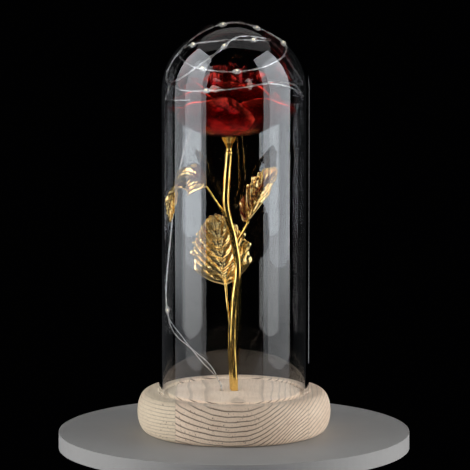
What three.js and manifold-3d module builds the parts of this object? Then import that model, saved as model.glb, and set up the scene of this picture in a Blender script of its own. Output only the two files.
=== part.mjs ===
// A gilt foil rose under a round-topped glass dome, on a round pine base, with a
// string of fairy lights loose inside the glass. Millimetres, +Z up. The origin is
// the centre of the base's underside, +X is to the right and -Y is the front.

import * as THREE from 'three';
import { mergeVertices } from 'three/addons/utils/BufferGeometryUtils.js';
import Module from 'manifold-3d';

const wasm = await Module();
wasm.setup();

// Driving dimensions of the pine base
const BASE_RADIUS = 57.8;
const BASE_HEIGHT = 24.5;
const BASE_FLAT_RADIUS = 51.5;
const BASE_SEGMENTS = 60;
const BULLNOSE_STEPS = 8;
const GROOVE_INNER_RADIUS = 39.1;
const GROOVE_OUTER_RADIUS = 45.6;
const GROOVE_DEPTH = 2.2;
const WIRE_HOLE_X = -7.3;
const WIRE_HOLE_RADIUS = 1.7;
const WIRE_HOLE_DEPTH = 12;

// Driving dimensions of the glass dome: a tube closed by a half sphere
const GLASS_RADIUS = 45;
const GLASS_WALL = 2.3;
const DOME_CENTRE_HEIGHT = 205;
const GLASS_SEGMENTS = 48;
const DOME_STEPS = 7;

// Clearance between pieces that touch in the real object
const GAP = 0.3;

// Driving dimensions of the gilt stem, calyx and leaf stems
const STEM_RADIUS = 2.2;
const STEM_HOLE_DEPTH = 7;
const STEM_TOP = 168.5;
const CALYX_NECK_RADIUS = 1.75;
const CALYX_RADIUS = 5.2;
const CALYX_HEIGHT = 9.4;
const LEAF_STEM_RADIUS = 0.9;

// Driving dimensions of the gilt leaves
const LEAF_THICKNESS = 0.5;
const LEAF_PLEATS = 7;

// Driving dimensions of the red bloom. Its petals are nested: petal number i is
// wholly outside petal number i - 1, from the tight bud to the wide outer bowl.
const BLOOM_X = -2;
const BLOOM_BASE_HEIGHT = 178.9;
const PETALS = 21;
const PETAL_THICKNESS = 0.34;
const PETAL_TURN = -144;
const RING_TWIST = -36;
const OUTER_PETAL_AZIMUTH = -24;
const PETAL_CELLS = 6;
const WIDEST_HALF_TURN = 1.17;
const RIM_CURL = 0.9;

// Driving dimensions of the fairy lights
const WIRE_RADIUS = 0.55;
const WIRE_STEPS = 80;
const BEAD_RADIUS = 1.4;
const BEAD_LENGTH = 4;

const degrees = THREE.MathUtils.degToRad;

// Materials, with the colour, roughness and metalness of each finish
const materials = {
  pine: { color: 0xe2cfb8, roughness: 0.6, metalness: 0 },
  glass: { color: 0xf6f9fa, roughness: 0.03, metalness: 0, transparent: true, opacity: 0.25 },
  gold: { color: 0xd9a441, roughness: 0.22, metalness: 1 },
  redFoil: { color: 0xa30d0d, roughness: 0.25, metalness: 0.7 },
  wire: { color: 0xc9cbcd, roughness: 0.3, metalness: 1 },
  bead: { color: 0xf3f4ee, roughness: 0.12, metalness: 0 },
};

const rose = new THREE.Group();

// Adds one named piece with its own material to the object
function addPiece(name, geometry, finish) {
  const mesh = new THREE.Mesh(geometry, new THREE.MeshStandardMaterial(materials[finish]));
  mesh.name = name;
  rose.add(mesh);
  return mesh;
}

// Six times the volume that a triangle mesh encloses, negative when it is inside out
function signedVolume(positions, indices) {
  const [a, b, c] = [new THREE.Vector3(), new THREE.Vector3(), new THREE.Vector3()];
  let sum = 0;
  for (let i = 0; i < indices.length; i += 3) {
    a.fromArray(positions, 3 * indices[i]);
    b.fromArray(positions, 3 * indices[i + 1]);
    c.fromArray(positions, 3 * indices[i + 2]);
    sum += a.dot(b.cross(c));
  }
  return sum;
}

// A closed geometry with its vertices merged and its faces pointing out
function closedSolid(geometry) {
  const bare = geometry.clone();
  bare.deleteAttribute('normal');
  bare.deleteAttribute('uv');
  const merged = mergeVertices(bare, 1e-4);
  const indices = [];
  for (let i = 0; i < merged.index.count; i += 3) {
    const corner = [merged.index.getX(i), merged.index.getX(i + 1), merged.index.getX(i + 2)];
    if (new Set(corner).size === 3) indices.push(...corner);
  }
  if (signedVolume(merged.attributes.position.array, indices) < 0) indices.reverse();
  merged.setIndex(indices);
  return merged;
}

// A turned solid: a profile of [radius, height] points revolved about the Z axis
function turned(profile, segments) {
  const points = profile.map(([radius, height]) => new THREE.Vector2(radius, height));
  const geometry = new THREE.LatheGeometry(points, segments);
  geometry.rotateX(Math.PI / 2);
  return closedSolid(geometry);
}

// A round rod of a given radius along a curve
function rod(curve, radius, sides, steps) {
  const section = new THREE.Shape();
  for (let i = 0; i < sides; i += 1) {
    const angle = (2 * Math.PI * i) / sides;
    const place = [radius * Math.cos(angle), radius * Math.sin(angle)];
    if (i === 0) section.moveTo(...place);
    else section.lineTo(...place);
  }
  section.closePath();
  const geometry = new THREE.ExtrudeGeometry(section, {
    steps,
    extrudePath: curve,
    bevelEnabled: false,
  });
  return closedSolid(geometry);
}

// A thin solid sheet about the surface that place(u, v) gives, for u from -1 to 1 and
// v from 0 to 1, with its own thickness split evenly on the two sides
function sheet(place, across, along, thickness) {
  const columns = across + 1;
  const rows = along + 1;
  const at = (i, j) => place((2 * i) / across - 1, j / along);
  const positions = [];
  for (const side of [0.5, -0.5]) {
    for (let j = 0; j < rows; j += 1) {
      for (let i = 0; i < columns; i += 1) {
        const alongU = at(Math.min(i + 1, across), j).sub(at(Math.max(i - 1, 0), j));
        const alongV = at(i, Math.min(j + 1, along)).sub(at(i, Math.max(j - 1, 0)));
        const normal = alongU.cross(alongV).normalize();
        positions.push(...at(i, j).addScaledVector(normal, side * thickness).toArray());
      }
    }
  }
  const back = columns * rows;
  const indices = [];
  const quad = (a, b, c, d) => indices.push(a, b, c, a, c, d);
  for (let j = 0; j < along; j += 1) {
    for (let i = 0; i < across; i += 1) {
      const corner = j * columns + i;
      const [a, b, c, d] = [corner, corner + 1, corner + columns + 1, corner + columns];
      quad(a, b, c, d);
      // The back face is split along the same diagonal, so the two never cross
      quad(back + a, back + d, back + c, back + b);
    }
  }
  const edge = [];
  for (let i = 0; i < across; i += 1) edge.push(i);
  for (let j = 0; j < along; j += 1) edge.push(j * columns + across);
  for (let i = across; i > 0; i -= 1) edge.push(along * columns + i);
  for (let j = along; j > 0; j -= 1) edge.push(j * columns);
  edge.forEach((a, k) => {
    const b = edge[(k + 1) % edge.length];
    quad(a, back + a, back + b, b);
  });
  const geometry = new THREE.BufferGeometry();
  geometry.setAttribute('position', new THREE.Float32BufferAttribute(positions, 3));
  geometry.setIndex(indices);
  return closedSolid(geometry);
}

// A geometry as a solid that can be cut, and a cut solid as a geometry
function toManifold(geometry) {
  return new wasm.Manifold(new wasm.Mesh({
    numProp: 3,
    vertProperties: new Float32Array(geometry.attributes.position.array),
    triVerts: new Uint32Array(geometry.index.array),
  }));
}

function fromManifold(solid) {
  const mesh = solid.getMesh();
  const geometry = new THREE.BufferGeometry();
  geometry.setAttribute('position', new THREE.BufferAttribute(mesh.vertProperties, 3));
  geometry.setIndex(new THREE.BufferAttribute(mesh.triVerts, 1));
  return geometry;
}

function curveThrough(points) {
  return new THREE.CatmullRomCurve3(points.map((point) => new THREE.Vector3(...point)));
}

// The line of the main stem, from its foot in the base to the calyx
const stemCurve = curveThrough([
  [0.3, 0, BASE_HEIGHT - STEM_HOLE_DEPTH + GAP],
  [0.1, 0, 34],
  [-0.8, 0, 55],
  [0.3, 0, 79],
  [2.3, 0, 98],
  [0, 0, 115.4],
  [-4.6, 0, 136],
  [-4.3, 0, 152],
  [-3, 0, STEM_TOP],
]);

// The pine base: a disc with a bullnose edge, a groove that the glass stands in, a
// blind hole for the stem's foot and a narrow one that the light string comes out of
function pineBase() {
  const nose = [];
  for (let i = 0; i <= BULLNOSE_STEPS; i += 1) {
    const angle = Math.PI * (i / BULLNOSE_STEPS - 0.5);
    nose.push([
      BASE_FLAT_RADIUS + (BASE_RADIUS - BASE_FLAT_RADIUS) * Math.cos(angle),
      (BASE_HEIGHT / 2) * (1 + Math.sin(angle)),
    ]);
  }
  const disc = turned([
    [0, 0],
    ...nose,
    [GROOVE_OUTER_RADIUS, BASE_HEIGHT],
    [GROOVE_OUTER_RADIUS, BASE_HEIGHT - GROOVE_DEPTH],
    [GROOVE_INNER_RADIUS, BASE_HEIGHT - GROOVE_DEPTH],
    [GROOVE_INNER_RADIUS, BASE_HEIGHT],
    [0, BASE_HEIGHT],
  ], BASE_SEGMENTS);
  const hole = (x, radius, depth) => {
    const drill = new THREE.CylinderGeometry(radius, radius, 2 * depth, 16);
    drill.rotateX(Math.PI / 2);
    drill.translate(x, 0, BASE_HEIGHT);
    return toManifold(closedSolid(drill));
  };
  const foot = stemCurve.getPoint(0);
  return fromManifold(toManifold(disc)
    .subtract(hole(foot.x, STEM_RADIUS + GAP, STEM_HOLE_DEPTH))
    .subtract(hole(WIRE_HOLE_X, WIRE_HOLE_RADIUS, WIRE_HOLE_DEPTH)));
}

// The glass dome, open at the bottom, standing on the floor of the groove
function glassDome() {
  const bottom = BASE_HEIGHT - GROOVE_DEPTH + GAP;
  const arc = (radius) => {
    const points = [];
    for (let i = 0; i <= DOME_STEPS; i += 1) {
      const angle = (Math.PI / 2) * (i / DOME_STEPS);
      const height = DOME_CENTRE_HEIGHT + radius * Math.sin(angle);
      points.push([i === DOME_STEPS ? 0 : radius * Math.cos(angle), height]);
    }
    return points;
  };
  const outside = [[GLASS_RADIUS, bottom], ...arc(GLASS_RADIUS)];
  const inside = [[GLASS_RADIUS - GLASS_WALL, bottom], ...arc(GLASS_RADIUS - GLASS_WALL)];
  return turned([...inside.reverse(), ...outside], GLASS_SEGMENTS);
}

// The calyx: a gilt funnel on the stem's top, with a shallow dished top for the bloom
function calyx() {
  const foot = STEM_TOP + GAP;
  const profile = [
    [0, 0],
    [CALYX_NECK_RADIUS, 0],
    [CALYX_NECK_RADIUS + 0.1, 0.25 * CALYX_HEIGHT],
    [0.55 * CALYX_RADIUS, 0.55 * CALYX_HEIGHT],
    [0.85 * CALYX_RADIUS, 0.85 * CALYX_HEIGHT],
    [CALYX_RADIUS, CALYX_HEIGHT],
    [0.7 * CALYX_RADIUS, 0.92 * CALYX_HEIGHT],
    [0, 0.85 * CALYX_HEIGHT],
  ];
  const funnel = turned(profile, 16);
  const top = stemCurve.getPoint(1);
  funnel.translate(top.x, top.y, foot);
  return funnel;
}

// A rose leaf pressed from gilt sheet. Its midrib follows a curve, and its two sides
// are folded into pleats that slant forwards and end in the teeth of the margin.
function pleatedLeaf({ midrib, lateralBase, lateralTip, halfWidth, cup, pleat }) {
  const curve = new THREE.CubicBezierCurve3(...midrib.map((p) => new THREE.Vector3(...p)));
  const slant = 0.85;
  return (u, v) => {
    const rise = Math.abs(u);
    const along = v + slant * rise * Math.sqrt(v) * (1 - v);
    const tangent = curve.getTangent(along);
    const lateral = new THREE.Vector3(...lateralBase).lerp(new THREE.Vector3(...lateralTip), v);
    lateral.addScaledVector(tangent, -lateral.dot(tangent)).normalize();
    const normal = new THREE.Vector3().crossVectors(lateral, tangent);
    const fold = Math.cos(2 * Math.PI * LEAF_PLEATS * v);
    const outline = 0.05 + 0.95 * Math.sin(Math.PI * along ** 0.85) ** 0.75;
    const width = halfWidth * outline * (1 + 0.07 * fold * rise);
    const height = cup * rise * rise + pleat * fold * Math.sin(Math.PI * Math.min(1, v + 0.05))
      * Math.min(1, 1.6 * rise);
    return curve.getPoint(along).addScaledVector(lateral, u * width).addScaledVector(normal, height);
  };
}

const leaves = {
  left: {
    stem: [[-7.9, 0, 134.8], [-12, 0.6, 140.6], [-16.2, 1, 147]],
    leaf: {
      midrib: [[-16.6, 1.1, 147.6], [-25, 3, 156], [-40, 4, 156], [-39, -3, 127]],
      lateralBase: [0.25, 0.75, 0.6],
      lateralTip: [0.3, 0.95, 0],
      halfWidth: 14,
      cup: -1.5,
      pleat: 1.1,
    },
  },
  right: {
    stem: [[3.6, 0, 117.4], [6, 0.2, 121.4], [8, 0.5, 125.3]],
    leaf: {
      midrib: [[8.3, 0.6, 125.9], [12, 4, 138], [19, 9, 150], [26, 14, 155]],
      lateralBase: [0.45, -0.85, -0.2],
      lateralTip: [0.45, -0.8, -0.35],
      halfWidth: 11,
      cup: 3,
      pleat: 1.1,
    },
  },
  front: {
    stem: [
      [-1.7, 2.8, BASE_HEIGHT + 0.5], [-2.8, 2.8, 50], [-2.9, 2.5, 64],
      [-3.5, 1.5, 72], [-4.3, 2.6, 80], [-5, 4, 87.4],
    ],
    leaf: {
      midrib: [[-5.1, 4.2, 88], [-6.5, 7.5, 100], [-9, 8, 116], [-12, 3, 129.5]],
      lateralBase: [1, 0.05, 0.1],
      lateralTip: [1, 0.05, 0.1],
      halfWidth: 17.5,
      cup: -2.5,
      pleat: 1.2,
    },
  },
};

// The bloom's nested family of curves. For openness t, from 0 in the bud to 1 in the
// outermost petal, a petal's midline starts beside the axis and is drawn out step by
// step, leaning from upright towards level by an angle that grows with t. Where upright
// nears 1, at the front of the bloom, the tips stand up and the petals are longer.
function petalLine(openness, upright, reach) {
  const steps = 20;
  const length = 42 + (10 * upright - 7) * openness ** 3;
  const base = 18 + 80 * openness;
  const middle = -8 + 58 * openness ** 2.4 - 10 * upright * openness ** 2;
  const tip = -14 + 100 * openness ** 1.7 - 86 * upright * openness ** 1.5;
  let radius = 0.8 + 5.1 * openness;
  let height = BLOOM_BASE_HEIGHT + 2.2 * (1 - openness);
  const whole = Math.floor(reach * steps);
  for (let i = 0; i <= whole; i += 1) {
    const part = i < whole ? 1 : reach * steps - whole;
    const s = (i + 0.5) / steps;
    const lean = degrees(base * (1 - s) ** 2 + 2 * middle * s * (1 - s) + tip * s * s);
    radius += Math.sin(lean) * length * (part / steps);
    height += Math.cos(lean) * length * (part / steps);
  }
  return { radius: Math.max(radius, 0.6), height };
}

// One petal's surface: across it, u turns about the bloom's axis, and along it, v
// follows the family's curve. Its rim is rounded, dips at the middle, is ruffled and
// curls outwards, save in the widest petals.
function petal(index) {
  const fromOutside = PETALS - 1 - index;
  const own = 1 - (fromOutside / (PETALS - 1)) ** 1.35;
  const ring = Math.floor(fromOutside / 5);
  const azimuth = OUTER_PETAL_AZIMUTH + fromOutside * PETAL_TURN + ring * RING_TWIST;
  const width = 25 + 43 * own;
  const widest = 4 + 25 * own ** 0.8;
  const corner = 0.14 + 0.18 * own;
  const ruffle = 0.022 - 0.012 * own;
  return (u, v) => {
    const dip = 0.03 * (1 - Math.min(1, Math.abs(3 * u)));
    const reach = v * (1 - corner * Math.abs(u) ** 2.6 - dip);
    const spread = 0.1 + 0.9 * Math.sin((Math.PI / 2) * Math.min(1, reach / 0.62)) ** 1.1;
    const half = (spread * width * 0.5) / widest;
    const turn = degrees(azimuth) + u * WIDEST_HALF_TURN * Math.tanh(half / WIDEST_HALF_TURN);
    const upright = ((1 + Math.cos(turn)) / 2) ** 3;
    const wave = ruffle * (Math.sin(2.4 * Math.PI * u + index) - 1) * v ** 3;
    const openness = THREE.MathUtils.clamp(own + wave, 0, 1);
    const line = petalLine(openness, upright, reach);
    const free = 1 - own ** 3 * (1 - upright);
    const radius = line.radius + RIM_CURL * free * Math.max(0, (v - 0.85) / 0.15) ** 2;
    const oval = 1 + 0.04 * Math.sin(turn) + 0.03 * Math.sin(turn) ** 2;
    return new THREE.Vector3(
      BLOOM_X + radius * oval * Math.sin(turn),
      -radius * oval * Math.cos(turn),
      line.height,
    );
  };
}

// The light string's route, chosen by hand, as azimuth from the front in degrees,
// distance from the dome's axis and height: out of the base, up the glass at the left,
// round behind the bloom, across its front, and in loops under the dome's top
const wireRoute = [
  [-90, 7.3, 16], [-91, 7.5, 26], [-94, 12, 35], [-91, 37.5, 64], [-93, 41, 80],
  [-105, 41, 106], [-119, 41, 137], [-135, 41, 170], [-157, 41, 192], [-195, 41, 204],
  [-240, 41, 206.5], [-283, 41, 203], [-307, 40.8, 210], [-330, 40.3, 213.8], [-353, 40.2, 212],
  [-380, 40.6, 210], [-412, 40.8, 209.5], [-443, 40, 214.5], [-462, 35, 226], [-478, 22, 239],
  [-552, 8, 245.2], [-630, 28, 235], [-660, 34, 228.5], [-690, 37, 223.5], [-718, 38, 221],
  [-755, 37.4, 222.4], [-787, 34, 227], [-830, 29, 231], [-890, 27, 232.5], [-950, 26, 233.5],
  [-1005, 19, 236.5], [-1070, 14.5, 238.5], [-1106, 27, 229], [-1139, 36.6, 214.5],
  [-1172, 39.3, 209.6], [-1182, 40.3, 206.9], [-1182, 40.7, 203.3], [-1174, 40.7, 201.6],
  [-1148, 40.7, 201.8], [-1122, 38, 203.5],
];

function wireCurve() {
  return curveThrough(wireRoute.map(([azimuth, radius, height]) => [
    radius * Math.sin(degrees(azimuth)),
    -radius * Math.cos(degrees(azimuth)),
    height,
  ]));
}

// A light bead: a short barrel of clear resin threaded on the wire
function bead() {
  const bore = WIRE_RADIUS + GAP;
  const half = BEAD_LENGTH / 2;
  return turned([
    [bore, -half],
    [0.8 * BEAD_RADIUS, -0.85 * half],
    [BEAD_RADIUS, -0.3 * half],
    [BEAD_RADIUS, 0.3 * half],
    [0.8 * BEAD_RADIUS, 0.85 * half],
    [bore, half],
    [bore, -half],
  ], 10);
}

// The straight steps of the wire's rod that carry a bead, counted from the base
const beadSteps = [6, 34, 43, 45, 47, 52, 54, 59, 63, 69];

addPiece('wood_base', pineBase(), 'pine');
addPiece('glass_dome', glassDome(), 'glass');
addPiece('main_stem', rod(stemCurve, STEM_RADIUS, 12, 30), 'gold');
addPiece('calyx', calyx(), 'gold');

for (const [side, { stem, leaf }] of Object.entries(leaves)) {
  const steps = 3 * stem.length;
  addPiece(`${side}_leaf_stem`, rod(curveThrough(stem), LEAF_STEM_RADIUS, 8, steps), 'gold');
  const blade = sheet(pleatedLeaf(leaf), 4, 2 * LEAF_PLEATS, LEAF_THICKNESS);
  addPiece(`${side}_leaf`, blade, 'gold');
}

for (let index = 0; index < PETALS; index += 1) {
  const name = `petal_${String(index + 1).padStart(2, '0')}`;
  addPiece(name, sheet(petal(index), PETAL_CELLS, PETAL_CELLS, PETAL_THICKNESS), 'redFoil');
}

const wire = wireCurve();
const wirePoints = wire.getSpacedPoints(WIRE_STEPS);
addPiece('fairy_light_wire', rod(wire, WIRE_RADIUS, 8, WIRE_STEPS), 'wire');
beadSteps.forEach((step, index) => {
  const [from, to] = [wirePoints[step], wirePoints[step + 1]];
  const name = `led_bead_${String(index + 1).padStart(2, '0')}`;
  const piece = addPiece(name, bead(), 'bead');
  piece.position.copy(from).add(to).multiplyScalar(0.5);
  const direction = to.clone().sub(from).normalize();
  piece.quaternion.setFromUnitVectors(new THREE.Vector3(0, 0, 1), direction);
});

export default rose;
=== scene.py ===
"""A gilt foil rose under a glass dome on a pine base, with fairy lights loose in the glass."""

import math

import bpy
import numpy as np
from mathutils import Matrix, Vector


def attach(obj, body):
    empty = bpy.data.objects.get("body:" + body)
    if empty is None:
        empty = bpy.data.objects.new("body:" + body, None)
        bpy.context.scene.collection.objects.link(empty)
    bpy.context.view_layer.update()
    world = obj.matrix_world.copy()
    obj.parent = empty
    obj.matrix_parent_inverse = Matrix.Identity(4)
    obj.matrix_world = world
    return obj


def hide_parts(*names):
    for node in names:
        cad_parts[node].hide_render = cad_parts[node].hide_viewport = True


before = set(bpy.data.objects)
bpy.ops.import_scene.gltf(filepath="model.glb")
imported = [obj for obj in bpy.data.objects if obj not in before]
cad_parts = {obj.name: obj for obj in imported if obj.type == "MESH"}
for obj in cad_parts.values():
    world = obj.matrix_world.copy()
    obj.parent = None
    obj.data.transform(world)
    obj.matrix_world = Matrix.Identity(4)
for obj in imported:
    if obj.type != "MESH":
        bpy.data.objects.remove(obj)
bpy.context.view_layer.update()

# Camera.
# A long lens a little over three metres away, looking nine degrees down on the dome.
LENS_DISTANCE = 3.2
PICTURE_WIDTH = 0.28
LOOK_DOWN = math.radians(9)
LOOK_AT = Vector((0.0006, 0, 0.1184))

lens = bpy.data.cameras.new("long_lens")
lens.sensor_width = 36
lens.lens = lens.sensor_width * LENS_DISTANCE / PICTURE_WIDTH
lens.clip_start = 0.5
lens.clip_end = 20
camera = bpy.data.objects.new("camera", lens)
bpy.context.scene.collection.objects.link(camera)
towards = Vector((0, math.cos(LOOK_DOWN), -math.sin(LOOK_DOWN)))
camera.location = LOOK_AT - LENS_DISTANCE * towards
camera.rotation_euler = towards.to_track_quat("-Z", "Y").to_euler()
bpy.context.scene.camera = camera

# Fairy light string.
# Two thin silvered copper wires, loosely twisted. Nothing holds them: they come up through the
# base, climb the glass at the left and lie in loose loops about the bloom and above it.
STRAND_RADIUS = 0.00024
STRAND_OFFSET = 0.00032
TWIST_PITCH = 0.013
STRING_PLACES = 760
PARTING_PLACE = 0.040  # along the string, where the strands stand apart
PARTING_HALF_LENGTH = 0.017
PARTING_WIDTH = 0.0016
PARTED_PITCH = 7


def unit(vectors):
    """Each row of vectors divided by its length."""
    return vectors / np.maximum(np.linalg.norm(vectors, axis=-1, keepdims=True), 1e-12)


def line_through(points, count):
    """count places, evenly spaced, on a smooth line through points. Between two points it is
    the cubic that starts and ends there, with slopes weighed by the square roots of the
    distances to the neighbouring points."""
    points = np.asarray(points, float)
    knots = np.vstack([2 * points[0] - points[1], points, 2 * points[-1] - points[-2]])
    step = np.diff(knots, axis=0)
    span = np.sqrt(np.linalg.norm(step, axis=1))[:, None]
    slope = step / span
    turn = (knots[2:] - knots[:-2]) / (span[:-1] + span[1:])
    leave = (slope[:-2] - turn[:-1] + slope[1:-1]) * span[1:-1]
    arrive = (slope[1:-1] - turn[1:] + slope[2:]) * span[1:-1]
    t = np.linspace(0, 1, 40, endpoint=False)[None, :, None]
    start, end = knots[1:-2, None], knots[2:-1, None]
    fine = (
        (2 * t**3 - 3 * t**2 + 1) * start
        + (t**3 - 2 * t**2 + t) * leave[:, None]
        + (3 * t**2 - 2 * t**3) * end
        + (t**3 - t**2) * arrive[:, None]
    )
    fine = np.vstack([fine.reshape(-1, 3), points[-1]])
    run = np.r_[0, np.cumsum(np.linalg.norm(np.diff(fine, axis=0), axis=1))]
    even = np.linspace(0, run[-1], count)
    return np.stack([np.interp(even, run, fine[:, k]) for k in range(3)], axis=1)


def frames_along(path, outward):
    """Three unit directions at each place of a path: along it, square to it and as near to
    outward as can be, and square to both."""
    along = unit(np.gradient(path, axis=0))
    first = unit(outward - (outward * along).sum(-1, keepdims=True) * along)
    return along, first, np.cross(along, first)


def wound(rings, start, end):
    """A closed skin over a stack of rings, an (n, m, 3) array, with one corner to close each
    end: the corners, then the four-sided and three-sided faces. The faces point out where a
    ring is counted anticlockwise about the direction of the stack."""
    n, m = rings.shape[:2]
    corner = np.arange(n * m).reshape(n, m)
    after = np.roll(corner, -1, axis=1)
    quads = np.stack([corner[:-1], after[:-1], after[1:], corner[1:]], -1).reshape(-1, 4)
    first, last = np.full(m, n * m), np.full(m, n * m + 1)
    caps = np.vstack([
        np.stack([first, after[0], corner[0]], -1),
        np.stack([last, corner[-1], after[-1]], -1),
    ])
    return np.vstack([rings.reshape(-1, 3), start, end]), [quads, caps]


def tube(path, radius, sides, outward):
    """A round tube about a path: round each place stands a ring of corners at radius times
    cos a of the first direction and sin a of the second. Each end is rounded off by a ring
    of 0.7 of the radius and a corner that stands 0.6 of the radius beyond the path."""
    along, first, second = frames_along(path, outward)
    radius = np.broadcast_to(np.asarray(radius, float), len(path)).copy()
    angle = np.linspace(0, 2 * np.pi, sides, endpoint=False)[None, :, None]
    round_about = np.cos(angle) * first[:, None] + np.sin(angle) * second[:, None]
    rings = path[:, None] + radius[:, None, None] * round_about
    bulge = 0.6 * radius[[0, -1], None]
    lip = path[[0, -1]] + np.array([[-0.6], [0.6]]) * bulge * along[[0, -1]]
    near = lip[:, None] + 0.7 * (rings[[0, -1]] - path[[0, -1], None])
    rings = np.concatenate([near[:1], rings, near[1:]])
    return wound(rings, path[0] - bulge[0] * along[0], path[-1] + bulge[1] * along[-1])


def joined(*skins):
    """Several skins as one, the faces of each counted on from the corners before it."""
    corners, faces, count = [], [], 0
    for places, kinds in skins:
        corners.append(places)
        faces += [kind + count for kind in kinds]
        count += len(places)
    return np.vstack(corners), faces


def piece(name, skin, material, nodes, maps=None):
    """A shown piece made of a skin, at the origin, in its finish. It rides on the body and
    stands for its CAD nodes. maps gives each corner two numbers that a finish can read as
    UV."""
    places, kinds = skin
    mesh = bpy.data.meshes.new(name)
    mesh.vertices.add(len(places))
    mesh.vertices.foreach_set("co", np.asarray(places, np.float32).ravel())
    loops = np.concatenate([kind.ravel() for kind in kinds])
    sizes = np.concatenate([np.full(len(kind), kind.shape[1]) for kind in kinds])
    mesh.loops.add(len(loops))
    mesh.loops.foreach_set("vertex_index", loops.astype(np.int32))
    mesh.polygons.add(len(sizes))
    mesh.polygons.foreach_set("loop_start", np.r_[0, np.cumsum(sizes)[:-1]].astype(np.int32))
    mesh.polygons.foreach_set("use_smooth", np.ones(len(sizes), bool))
    if maps is not None:
        layer = mesh.uv_layers.new(name="surface")
        layer.data.foreach_set("uv", np.asarray(maps, np.float32)[loops].ravel())
    mesh.update(calc_edges=True)
    mesh.validate()
    for each in material if isinstance(material, (list, tuple)) else [material]:
        mesh.materials.append(each)
    made = bpy.data.objects.new(name, mesh)
    bpy.context.scene.collection.objects.link(made)
    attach(made, "root")
    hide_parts(*nodes)
    return made


class Shade:
    """A socket in a finish's node tree. Arithmetic on it adds Math nodes, and node() adds a
    node of any other kind."""

    def __init__(self, tree, socket):
        self.tree, self.socket = tree, socket

    def node(self, kind, settings=(), sockets=(), out=0):
        """A new node of a kind. Its settings are set first, then its sockets get values or
        links. out names the socket that is given back."""
        made = self.tree.nodes.new("ShaderNode" + kind)
        for name, value in dict(settings).items():
            setattr(made, name, value)
        for name, value in dict(sockets).items():
            if isinstance(value, Shade):
                self.tree.links.new(value.socket, made.inputs[name])
            elif isinstance(value, tuple) and made.inputs[name].type == "RGBA":
                made.inputs[name].default_value = (*value, 1)
            else:
                made.inputs[name].default_value = value
        return None if out is None else Shade(self.tree, made.outputs[out])

    def out(self, name):
        """Another output of this socket's node."""
        return Shade(self.tree, self.socket.node.outputs[name])

    def maths(self, operation, *terms):
        return self.node("Math", {"operation": operation}, dict(enumerate(terms)))

    def __add__(self, other):
        return self.maths("ADD", self, other)

    def __radd__(self, other):
        return self.maths("ADD", other, self)

    def __sub__(self, other):
        return self.maths("SUBTRACT", self, other)

    def __rsub__(self, other):
        return self.maths("SUBTRACT", other, self)

    def __mul__(self, other):
        return self.maths("MULTIPLY", self, other)

    def __rmul__(self, other):
        return self.maths("MULTIPLY", other, self)

    def __truediv__(self, other):
        return self.maths("DIVIDE", self, other)

    def __pow__(self, other):
        return self.maths("POWER", self, other)

    def __abs__(self):
        return self.maths("ABSOLUTE", self)

    def between(self, low, high):
        """0 below low, 1 above high and a soft step between them."""
        settings = {"interpolation_type": "SMOOTHSTEP"}
        return self.node("MapRange", settings, {"Value": self, "From Min": low, "From Max": high})

    def noise(self, scale, detail=3.0, rough=0.5, stretch=(1, 1, 1)):
        """Soft noise from 0 to 1 on this vector, of so many lumps a metre, stretched."""
        place = self.node("Mapping", {}, {"Vector": self, "Scale": stretch})
        wanted = {"Vector": place, "Scale": scale, "Detail": detail, "Roughness": rough}
        return self.node("TexNoise", {}, wanted, "Fac")

    def mixed(self, first, second):
        """The first colour where this is 0, and the second where it is 1."""
        return self.node("Mix", {"data_type": "RGBA"}, {0: self, 6: first, 7: second}, 2)

    def bump(self, strength, distance):
        """A normal bent by this height."""
        wanted = {"Height": self, "Strength": strength, "Distance": distance}
        return self.node("Bump", {}, wanted)


def finish(name, paint):
    """A material. paint gets the Object coordinates and gives the shader's sockets."""
    material = bpy.data.materials.new(name)
    material.use_nodes = True
    tree = material.node_tree
    tree.nodes.clear()
    coordinates = Shade(tree, None).node("TexCoord", {}, {}, "Object")
    shader = coordinates.node("BsdfPrincipled", {}, paint(coordinates))
    coordinates.node("OutputMaterial", {}, {"Surface": shader}, out=None)
    return material


def bright_wire(place):
    """Silvered copper wire: bright, with faint tarnish in patches and fine drawing marks."""
    tarnish = place.noise(90, 4).between(0.35, 0.75)
    return {
        "Base Color": tarnish.mixed((0.82, 0.82, 0.83), (0.6, 0.58, 0.55)),
        "Metallic": 1.0,
        "Roughness": 0.2 + 0.15 * tarnish,
        "Normal": place.noise(2500, 2).bump(0.15, 0.0001),
    }


# Azimuth from the front in degrees, then distance from the dome's axis and height in mm
ROUTE = [
    (-90, 7.3, 16), (-91, 7.5, 26), (-94, 12, 35), (-91, 37.5, 64), (-93, 41, 80),
    (-105, 41, 106), (-119, 41, 137), (-135, 41, 170), (-157, 41, 192), (-195, 41, 204),
    (-240, 41, 206.5), (-283, 41, 203), (-307, 40.8, 210), (-330, 40.3, 213.8),
    (-353, 40.2, 212), (-380, 40.6, 210), (-412, 40.8, 209.5), (-443, 40, 214.5),
    (-462, 35, 226), (-478, 22, 239), (-552, 8, 245.2), (-630, 28, 235), (-660, 34, 228.5),
    (-690, 37, 223.5), (-718, 38, 221), (-755, 37.4, 222.4), (-787, 34, 227), (-830, 29, 231),
    (-890, 27, 232.5), (-950, 26, 233.5), (-1005, 19, 236.5), (-1070, 14.5, 238.5),
    (-1106, 27, 229), (-1139, 36.6, 214.5), (-1172, 39.3, 209.6), (-1182, 40.3, 206.9),
    (-1182, 40.7, 203.3), (-1174, 40.7, 201.6), (-1148, 40.7, 201.8), (-1122, 38, 203.5),
]
turn, out_from_axis, height = np.array(ROUTE, float).T
turn = np.radians(turn)
route = 0.001 * np.stack(
    [out_from_axis * np.sin(turn), -out_from_axis * np.cos(turn), height], axis=1
)
centreline = line_through(route, STRING_PLACES)
run = np.r_[0, np.cumsum(np.linalg.norm(np.diff(centreline, axis=0), axis=1))]
STRING_LENGTH = float(run[-1])
middle_of_string = np.array([-0.002, 0, 0.15])
_, beside, across = frames_along(centreline, centreline - middle_of_string)
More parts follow.
